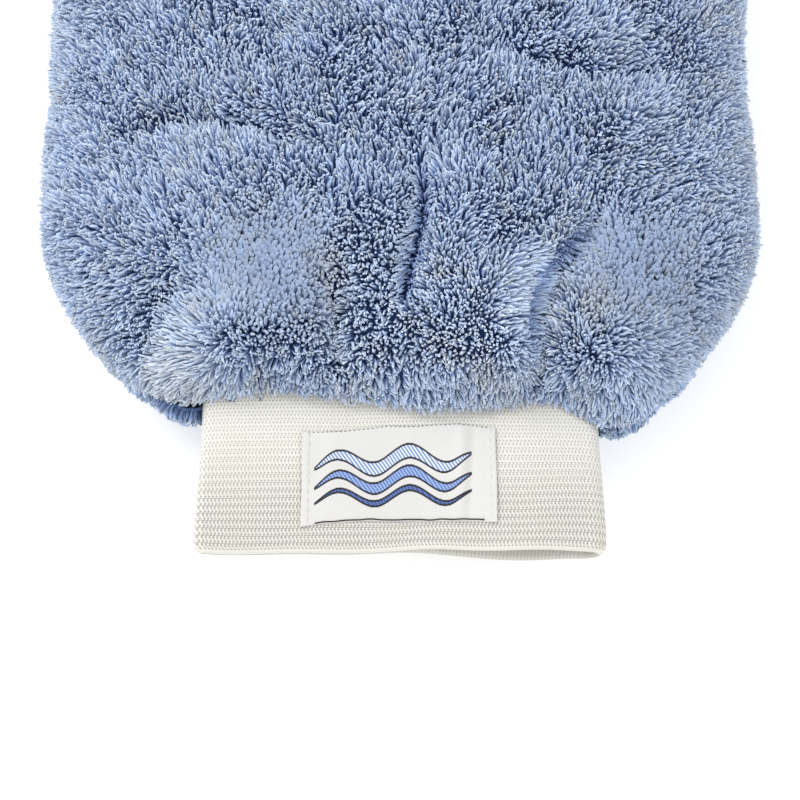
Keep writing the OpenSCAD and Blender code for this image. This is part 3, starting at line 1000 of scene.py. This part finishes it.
def combing(p, n, place, top, detail=True):
    """Which way, and how strongly, the pile leans at each root."""
    x, y = p[..., 0], p[..., 1]
    s, t = place[..., 0], place[..., 1]
    c = np.zeros_like(p)
    wide = 0.22 * np.stack([noise(s, t, 13, 51), noise(s, t, 13, 52), 0 * s], -1)
    lock = 0.13 * np.stack([noise(s, t, 4.2, seed) for seed in (53, 54, 59)], -1)
    calm = np.ones(x.shape)
    if top:
        calm = 1 - 0.75 * mound(x, y, *FLAT, 4)
        for fx, fy, inner, outer, strength, main in FANS:
            d = np.stack([x - fx, (y - fy), 0 * x], -1)
            r = np.linalg.norm(d, axis=-1)
            fan = strength * ease(r / inner) * (1 - ease((r - inner) / (outer - inner)))
            turn = np.arctan2(y - fy, x - fx) - math.radians(main)
            fan = fan * (0.08 + 0.92 * (0.5 + 0.5 * np.cos(turn)) ** 1.8) * (1.0 if detail else 0.4)
            c += d / np.maximum(r, 1e-6)[..., None] * fan[..., None]
        line, run = to_line(x, y, PART)
        near = bell((np.abs(line) - 1.6) / 2.2) * ease(run / 0.1 + 0.2) * ease((1 - run) / 0.5)
        c[..., 0] += 0.5 * near * np.where(line < 0, -1.0, 0.35)
        c[..., 1] += -0.25 * near * (line < 0)
        line, run = to_line(x, y, FOLD)
        over, back = (1.5, 0.35) if detail else (0.5, 0.1)
        c[..., 0] += over * bell((line - 6.5) / 3.6) * ease((run - 0.4) / 0.15) * ease((0.95 - run) / 0.25)
        c[..., 0] -= back * bell((line + 4.5) / 3.5) * ease((run - 0.3) / 0.2) * ease((1 - run) / 0.3)
        soft_a, soft_b = soft_places(x, y)
        c += soft_a[..., None] * np.array([0.12, 0.26, 0]) + soft_b[..., None] * np.array([-0.08, 0.26, 0])
        calm = calm * (1 - 0.8 * soft_a) * (1 - 0.8 * soft_b)
    front = ease((GROUND_Y0 + 8 - y) / 8)
    c += front[..., None] * np.array([0.0, -0.25, -0.20 if top else 0.1])
    c += ease((GROUND_Y0 + 3.5 - y) / 3)[..., None] * np.array([0.0, -0.40, 0.0])
    c += (wide + lock) * calm[..., None]
    if detail:
        fine = 0.15 * np.stack([noise(s, t, 1.7, seed) for seed in (55, 56, 57)], -1)
        c += fine * (0.35 + 0.65 * calm + 0.9 * front)[..., None]
    wall = ease((0.75 - np.abs(n[..., 2])) / 0.6) * (1 - front)
    c[..., 2] += -0.30 * wall * (1 if top else 0.4)
    return c - n * np.sum(c * n, -1, keepdims=True)


def soft_places(x, y):
    """The two places where the pile is brushed smooth."""
    return [mound(x, y, *patch, 4) for patch in SOFT]


def keep_clear(v, top):
    """Keeps the pile off the cuff and on the floor."""
    rel = v - MOUTH
    d = rel @ INTO
    n = rel @ LIFT
    x = v[..., 0]
    within = (np.abs(x) < BAND_HALF - 0.6) & (d > -2) & (d < BAND_DEPTH - 4)
    up, down = cuff_faces(np.clip(x, -49.0, 49.0), np.clip(d, 0, BAND_DEPTH))
    if top:
        push = np.maximum(up + THICK / 2 + 0.35 - n, 0)
    else:
        push = np.minimum(down - THICK / 2 - 0.35 - n, 0)
    v = v + np.where(within, push, 0)[..., None] * LIFT
    low = 0.25 + 0.5 * (0.5 + 0.5 * noise(v[..., 0], v[..., 1], 0.9, 71))
    v[..., 2] = np.maximum(v[..., 2], low)
    return v


# Of each strand: where its three-sided rings are, how thick it is there, and how far its tip's pull is felt.
RINGS = np.array([0.0, 0.46, 0.79, 0.945])
GIRTH = np.array([0.72, 0.95, 1.0, 0.80])
PULLED = np.array([0.0, 0.10, 0.45, 0.85, 1.0])
PER_PIECE = 9400


def tufts(name, p, n, c, length, width, shade, span, pull, soften, look, top):
    """One mesh of many tapering strands. shade is 0 to 63: warmth in eights, then lightness.

    span is the part of the root-to-tip colours that each strand shows, pull is how far its tip is drawn
    aside, and soften how much it is shaded like the face of the pile instead of like a rod.
    """
    k = len(p)
    e = unit(n + c)
    lean = np.linalg.norm(c, axis=1)
    reach = length * (1 + 0.10 * np.minimum(lean, 1.2))
    stops = np.concatenate([RINGS, [1.0]])
    a = (2 * stops * (1 - stops) * 0.46)[None, :, None]
    b = (stops**2)[None, :, None]
    spine = p[:, None] + reach[:, None, None] * (a * n[:, None] + b * e[:, None])
    spine += PULLED[None, :, None] * pull[:, None]
    sway = rng.normal(0, 1, (k, 2, 3)) * 0.27
    spine[:, 2] += sway[:, 0]
    spine[:, 3] += sway[:, 0] * 0.6 + sway[:, 1] * 0.7
    spine[:, 4] += sway[:, 1]
    along = unit(np.gradient(spine, axis=1))
    ref = unit(rng.normal(0, 1, (k, 1, 3)))
    u = unit(np.cross(along, ref))
    w = np.cross(along, u)
    angle = (np.arange(3) * 2 * math.pi / 3)[None, None, :, None]
    size = (width[:, None] * GIRTH[None, :])[..., None, None]
    ring = spine[:, :4, None] + size * (np.cos(angle) * u[:, :4, None] + np.sin(angle) * w[:, :4, None])
    verts = np.concatenate([ring.reshape(k, 12, 3), spine[:, 4:5]], 1)
    verts = keep_clear(verts, top)
    # Corners of the nine quads and the three triangles at the tip, and where they lie in the UV.
    edge = 0.12 + 0.25 * np.arange(4)
    level = 0.01 + 0.98 * stops
    around = ((0, 0), (1, 0), (1, 1), (0, 1))
    spots = [(r, j) for r in range(3) for j in range(3)]
    quad = np.array([[(r + up) * 3 + (j + on) % 3 for on, up in around] for r, j in spots])
    quad_uv = np.array([[[edge[j + on], level[r + up]] for on, up in around] for r, j in spots])
    tip = np.array([[9 + j, 9 + (j + 1) % 3, 12] for j in range(3)])
    ends = [(edge[j], edge[j + 1]) for j in range(3)]
    tip_uv = np.array([[[lo, level[3]], [hi, level[3]], [(lo + hi) / 2, level[4]]] for lo, hi in ends])
    faces, uvs = [], []
    for corner, at in ((quad, quad_uv), (tip, tip_uv)):
        faces.append(((np.arange(k) * 13)[:, None, None] + corner[None]).reshape(-1, corner.shape[1]))
        uv = np.broadcast_to(at[None], (k,) + at.shape).copy()
        uv[..., 0] = uv[..., 0] * (1.0 / SHADES**2) + (shade / SHADES**2)[:, None, None]
        uv[..., 1] = mix(span[:, 0, None, None], span[:, 1, None, None], uv[..., 1])
        uvs.append(uv.reshape(-1, corner.shape[1], 2))
    ob = make_mesh(name, verts.reshape(-1, 3), faces, uvs, uv_name="OFBake")
    # Each strand is a bundle of fine fibres, so it is shaded between a rod and the face of the pile.
    round_way = unit(ring - spine[:, :4, None]).reshape(k, 12, 3)
    outward = unit(0.75 * n + 0.25 * e)[:, None]
    facing = np.concatenate([unit(mix(round_way, outward, soften[:, None, None])), outward], 1)
    ob.data.normals_split_custom_set_from_vertices(facing.reshape(-1, 3))
    return wear(ob, look)


def build_pile(outer, top, spacing, seed, look, name):
    """All the strands of one panel, in pieces of a few thousand."""
    p, n, place = scatter(outer, spacing, seed)
    k = len(p)
    c = combing(p, n, place, top)
    x, y = p[:, 0], p[:, 1]
    s, t = place[:, 0], place[:, 1]
    patch = noise(s, t, 9, 61) * 0.5 + noise(s, t, 3, 62) * 0.5
    length = PILE * (1 + 0.03 * noise(s, t, 6, 63) + 0.045 * rng.normal(0, 1, k).clip(-2, 2))
    seam = ease((6 - np.abs(p[:, 2] - MID)) / 6)
    front = ease((GROUND_Y0 + 6 - y) / 7)
    length = length * (1 - 0.16 * seam) * (1 - 0.40 * front)
    if not top:
        length = length * (1 - 0.12 * ease((-n[:, 2] - 0.5) / 0.4))
    width = 0.385 * (1 + 0.15 * rng.normal(0, 1, k)).clip(0.6, 1.5) * (spacing / 0.76)
    warm = np.clip(0.06 + 0.5 * patch + 0.2 * rng.normal(0, 1, k), 0, 0.999)
    low_end = np.clip(0.10 + 0.07 * rng.normal(0, 1, k), 0, 0.3)
    high_end = np.clip(0.97 - 0.07 * rng.random(k), 0, 1)
    span = np.stack([low_end, high_end], -1)
    if top:
        for bx, by, size in GREY:
            warm = np.clip(warm + 0.4 * np.exp(-((x - bx) ** 2 + (y - by) ** 2) / size**2), 0, 0.999)
    # Strands draw together in locks, and within them in thinner twists, each with a lightness of its own.
    way, tone = locks(s, t, 3.0, 91)
    twist, shade_of = locks(s, t, 1.4, 96)
    light = 0.5 + 0.08 * noise(s, t, 5, 64) + 0.12 * tone + 0.15 * shade_of + 0.20 * rng.normal(0, 1, k)
    strength = 0.20 + 0.14 * noise(s, t, 13, 67) + 0.12 * front
    twined = 0.50 + 0.1 * noise(s, t, 11, 68)
    bend = (0.44 + 0.30 * front)[:, None] * np.stack([noise(s, t, 2.1, 94), noise(s, t, 2.1, 95)], -1)
    soften = np.full(k, 0.38)
    if top:
        soft = sum(soft_places(x, y))
        smooth = 0.38 + 0.07 * noise(s, t, 5, 64) + 0.05 * rng.normal(0, 1, k)
        light = mix(light, smooth, soft * 0.9)
        width = width * (1 + 1.1 * soft)
        warm = np.clip(warm + 0.20 * soft, 0, 0.999)
        span = mix(span, np.array([0.54, 0.65]), (soft * 0.97)[:, None])
        length = length + (PILE - length) * 0.8 * soft
        flat, even = mound(x, y, *FLAT, 4), mound(x, y, *EVEN, 4)
        span[:, 0] += 0.18 * np.maximum(flat, even) * (1 - soft)
        width = width * (1 + 0.06 * flat)
        light = light + 0.20 * np.maximum(flat, 0.6 * even * (1 - soft))
        strength = strength * (1 - 0.8 * soft) * (1 - 0.7 * flat) + 0.30 * mound(x, y, *RUFFLED)
        twined = twined * (1 - 0.9 * soft) * (1 - 0.75 * flat)
        bend = bend * (1 - 0.7 * soft)[:, None] * (1 - 0.5 * flat)[:, None]
        soften = soften + 0.54 * soft + 0.10 * flat
        fan = np.exp(-((x + 54) ** 2 + (y + 82) ** 2) / 9.0**2)
        span = mix(span, np.array([0.50, 1.0]), (fan * 0.8)[:, None])
        # Strands whose tips come into the fold or the parting are shorter and take only their darker lower
        # colours: painted shade in the crease.
        tip = p + length[:, None] * unit(n + c)
        line, run = to_line(tip[:, 0], tip[:, 1], FOLD)
        dark = bell((line + 0.6) / 1.5) * ease((run - 0.15) / 0.2) * ease((1.0 - run) / 0.2)
        line, run = to_line(tip[:, 0], tip[:, 1], PART)
        dark = np.maximum(dark, bell(line / 1.1) * ease(run / 0.1) * ease((0.85 - run) / 0.3))
        span = mix(span, np.array([0.0, 0.38]), dark[:, None])
        length = length * (1 - 0.34 * dark)
    light = np.clip(light, 0, 0.999)
    sign = 1 if top else -1
    across = sign * unit(np.cross(np.array([0.0, 1.0, 0.0]), n))
    forward = sign * np.cross(n, across)
    aside = way * np.clip(strength, 0, 0.7)[:, None] + twist * np.clip(twined, 0, 0.7)[:, None] + bend
    pull = aside[:, :1] * across + aside[:, 1:] * forward
    shade = np.floor(warm * SHADES) * SHADES + np.floor(light * SHADES)
    strands_of = (p, n, c, length, width, shade, span, pull, soften)
    order = np.argsort(y, kind="stable")
    made = []
    for i, pick in enumerate(np.array_split(order, math.ceil(k / PER_PIECE))):
        made.append(tufts(f"{name}_{i + 1}", *(value[pick] for value in strands_of), look, top))
    return made


ground_top, outer_top, top_grid = build_ground(True)
ground_low, outer_low, _ = build_ground(False)
pile_top = build_pile(outer_top, True, 0.70, 3, pile_top_look, "top_pile")
pile_low = build_pile(outer_low, False, 0.88, 4, pile_under_shaded_look, "bottom_pile")


# ---------------------------------------------------------------- lining and seams in the body
def build_lining(top):
    """One side of the hand pocket's lining."""
    y0, y1 = NECK_Y + 1.0, lining_hi[1]
    p, at = body_form(y0, y1, 49.6, lining_hi[0], 4.0, 13.2, 44.0, 30.0, 66.0, 40, 81, top)
    n = panel_normals(p, top)
    lift = 0.8 * noise(p[..., 0], p[..., 1], 18, 81 + top) * ease(at / 20)[:, None] - 0.6
    p = p + n * (np.minimum(lift, 0) * ease(np.abs(p[..., 2] - MID) / 4))[..., None]
    s = smooth_turn(p)
    place = np.stack([s, np.broadcast_to(at[:, None], s.shape)], -1)
    ob = slab("top_lining_cloth" if top else "bottom_lining_cloth", p, p - n * 0.8, place)
    return wear(ob, lining_look), p


lining_top, lining_grid = build_lining(True)
lining_low, _ = build_lining(False)


def seam_path(grid, out):
    """The line along a panel's side seams, from the right neck round the closed end to the left."""
    right, left = grid[:, -1], grid[::-1, 0]
    line = np.concatenate([right, left[1:]])
    along = np.gradient(line, axis=0)
    away = unit(np.stack([along[:, 1], -along[:, 0], 0 * along[:, 0]], -1))
    return line + away * out


def run_stitches(name, line, look, pitch=4.4, length=3.2, radius=0.24):
    """A row of single stitches along a line."""
    step = np.linalg.norm(np.diff(line, axis=0), axis=1)
    run = np.concatenate([[0], np.cumsum(step)])
    paths = []
    for i in range(1, int(run[-1] / pitch)):
        s = i * pitch + np.linspace(-length / 2, length / 2, 5)
        paths.append(np.stack([np.interp(s, run, line[:, k]) for k in range(3)], -1))
    return wear(tubes(name, paths, radius), look)


plush_seam = run_stitches("plush_seam_stitches", seam_path(top_grid, 0.6)[4:-4], blue_thread)
lining_seam = run_stitches("lining_seam_stitches", seam_path(lining_grid, 0.5)[8:-8], white_thread)

# ---------------------------------------------------------------- what each piece is
for ob, nodes, slot in (
    (ground_top, ["top_plush_panel"], "plush_pile"),
    (ground_low, ["bottom_plush_panel"], "plush_pile"),
    (plush_seam, ["plush_seam_thread"], "blue_thread"),
    (lining_top, ["top_lining"], "lining_cloth"),
    (lining_low, ["bottom_lining"], "lining_cloth"),
    (lining_seam, ["lining_seam_thread"], "white_thread"),
    (cuff, ["cuff_elastic_band"], "knitted_elastic"),
    (lap, [], "knitted_elastic"),
    (strands, ["cuff_rubber_strands"], "strand_rubber"),
    (lap_threads, ["cuff_lap_thread"], "white_thread"),
    (cuff_seam, ["cuff_seam_thread"], "white_thread"),
    (label, ["woven_label"], "label_satin"),
    (end_threads, ["label_end_stitches"], "white_thread"),
    (edge_thread, ["label_edge_thread"], "dark_thread"),
    (far_threads, [], "dark_thread"),
):
    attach(ob, "root")
    if nodes:
        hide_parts(*nodes)
for group in (pile_top, pile_low):
    for ob in group:
        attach(ob, "root")

# ---------------------------------------------------------------- floor, light, camera
bpy.ops.mesh.primitive_plane_add(size=8, location=(0, 0, 0))
floor = bpy.context.object
floor.name = "floor"
floor_look = Look("pale_floor", roughness=0.9, specular=0.1)
speck = floor_look.noise(scale=30, detail=3)
floor_look.colour(floor_look.blend(speck, (0.93, 0.93, 0.93), (0.95, 0.95, 0.95)))
floor_look.shader.inputs["Emission Color"].default_value = (1, 1, 1, 1)
floor_look.shader.inputs["Emission Strength"].default_value = 0.32
wear(floor, floor_look)

world = bpy.data.worlds.new("studio")
bpy.context.scene.world = world
world.use_nodes = True
background = world.node_tree.nodes["Background"]
background.inputs["Color"].default_value = (1, 1, 1, 1)
background.inputs["Strength"].default_value = 0.88


def area_light(name, where, size, watts):
    """A square soft light that points at the mitt's middle."""
    data = bpy.data.lights.new(name, "AREA")
    data.shape = "SQUARE"
    data.size = size
    data.energy = watts
    ob = add_object(name, data)
    ob.location = where
    target = Vector((0, -0.05, 0.03))
    ob.rotation_euler = (target - Vector(where)).to_track_quat("-Z", "Y").to_euler()


area_light("key", (-0.7, 0.5, 1.1), 0.7, 9.0)
area_light("fill", (0.9, -0.6, 1.2), 1.2, 3.0)

# The camera looks down at the cuff, steeply and from close by, as a product photographer would.
camera = bpy.data.cameras.new("camera")
camera.lens = 100
camera.sensor_width = 36
camera.clip_start = 0.01
camera_object = add_object("camera", camera)
tilt = math.radians(72)
distance = 0.571
look_dir = Vector((0, math.cos(tilt), -math.sin(tilt)))
label_y = (label_lo[1] + label_hi[1]) / 2
aim = Vector((0, label_y + 20.0, MOUTH[2] + 2.8)) * MM
camera_object.location = aim - look_dir * distance
camera_object.rotation_euler = look_dir.to_track_quat("-Z", "Y").to_euler()
bpy.context.scene.camera = camera_object
bpy.context.scene.view_settings.view_transform = "Standard"
